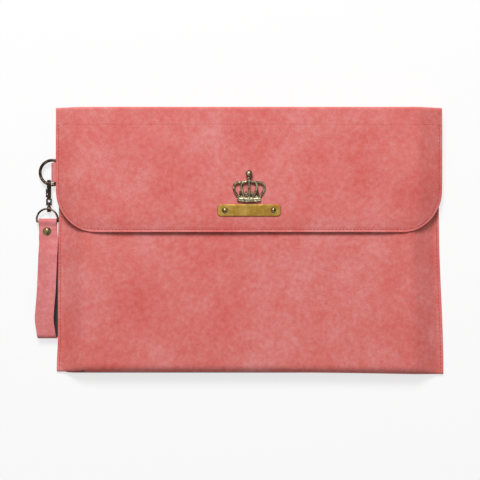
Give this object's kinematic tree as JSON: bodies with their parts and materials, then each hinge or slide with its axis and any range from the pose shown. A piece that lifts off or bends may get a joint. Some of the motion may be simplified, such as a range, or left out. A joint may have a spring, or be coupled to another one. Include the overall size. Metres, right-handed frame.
{
  "type": "laptop sleeve",
  "caption": "Padded envelope laptop sleeve in mottled coral faux suede, with a wide round-cornered flap, crown charm, bare plate and a clip-on wrist strap.",
  "frame": {"origin": "centre of the sleeve's back, on the face that it lies on", "axes": "+X to the right seen from the front, +Y towards the folded top edge, +Z out of the front"},
  "size_m": [0.3755, 0.2455, 0.026],
  "materials": {
    "coral_leather": "mottled soft suede, matte",
    "lining_fabric": "brushed microfibre",
    "foam": "closed foam sheet",
    "board": "stiff bonded board",
    "thread": "waxed thread",
    "snap_metal": "satin plated",
    "magnet": "dull plated magnet",
    "plate_brass": "satin brass",
    "rivet_brass": "antique brass, polished high spots",
    "antique_brass": "antique brass with patina",
    "ring_brass": "antique brass",
    "hook_metal": "dark bronze plate",
    "black_backing": "black bonded backing"
  },
  "bodies": {
    "root": {"pouch_outer": "coral_leather", "front_foam": "foam", "back_foam": "foam", "pouch_lining": "lining_fabric", "seam_threads": "thread", "mouth_thread": "thread", "ring_tab": "coral_leather", "snap_sockets": "snap_metal", "snap_magnets": "magnet", "snap_socket_washers": "snap_metal"},
    "spine": {"spine_outer": "coral_leather", "spine_board": "board", "spine_lining": "lining_fabric"},
    "flap": {"flap_outer": "coral_leather", "flap_board": "board", "flap_lining": "lining_fabric", "flap_thread": "thread", "snap_studs": "snap_metal", "snap_stud_washers": "snap_metal", "name_plate": "plate_brass", "plate_rivets": "rivet_brass", "plate_rivet_backs": "rivet_brass", "crown_charm": "antique_brass", "crown_caps": "antique_brass"},
    "seam_ring": {"seam_ring": "ring_brass"},
    "hook": {"hook_body": "hook_metal", "gate_pin": "hook_metal", "gate_spring": "hook_metal"},
    "gate": {"hook_gate": "hook_metal"},
    "swivel": {"swivel": "hook_metal"},
    "strap_ring": {"strap_ring": "ring_brass"},
    "strap": {"strap_outer": "coral_leather", "strap_lining": "black_backing", "strap_rivet": "rivet_brass", "strap_rivet_back": "rivet_brass"}
  },
  "joints": [
    {"name": "flap_crease", "type": "hinge", "parent": "spine", "child": "flap", "pos_m": [0, 0.1214, 0.0194], "axis": [-1, 0, 0], "range_deg": [0, 87]},
    {"name": "spine_crease", "type": "hinge", "parent": "root", "child": "spine", "pos_m": [0, 0.1214, 0.0013], "axis": [-1, 0, 0], "range_deg": [0, 87]},
    {"name": "seam_ring_swing", "type": "hinge", "parent": "root", "child": "seam_ring", "pos_m": [-0.1794, 0.063, 0.0042], "axis": [0, 1, 0], "range_deg": [-25, 35]},
    {"name": "hook_swing", "type": "hinge", "parent": "seam_ring", "child": "hook", "pos_m": [-0.1852, 0.0521, 0.0042], "axis": [-1, 0, 0], "range_deg": [-50, 50]},
    {"name": "gate_hinge", "type": "hinge", "parent": "hook", "child": "gate", "pos_m": [-0.1852, 0.0408, 0.0074], "axis": [-1, 0, 0], "range_deg": [0, 25], "stiffness_Nm_per_rad": 0.004},
    {"name": "swivel_spin", "type": "hinge", "parent": "hook", "child": "swivel", "pos_m": [-0.1852, 0.033, 0.0042], "axis": [0, -1, 0], "range_deg": [-100, 100]},
    {"name": "strap_ring_swing", "type": "hinge", "parent": "swivel", "child": "strap_ring", "pos_m": [-0.1852, 0.02925, 0.0042], "axis": [-1, 0, 0], "range_deg": [-60, 60]},
    {"name": "strap_swing", "type": "hinge", "parent": "strap_ring", "child": "strap", "pos_m": [-0.1869, 0.0176, 0.0042], "axis": [-1, 0, 0], "range_deg": [-80, 80]}
  ],
  "couplings": [
    {"joint": "spine_crease", "follows": "flap_crease", "ratio": 1}
  ]
}
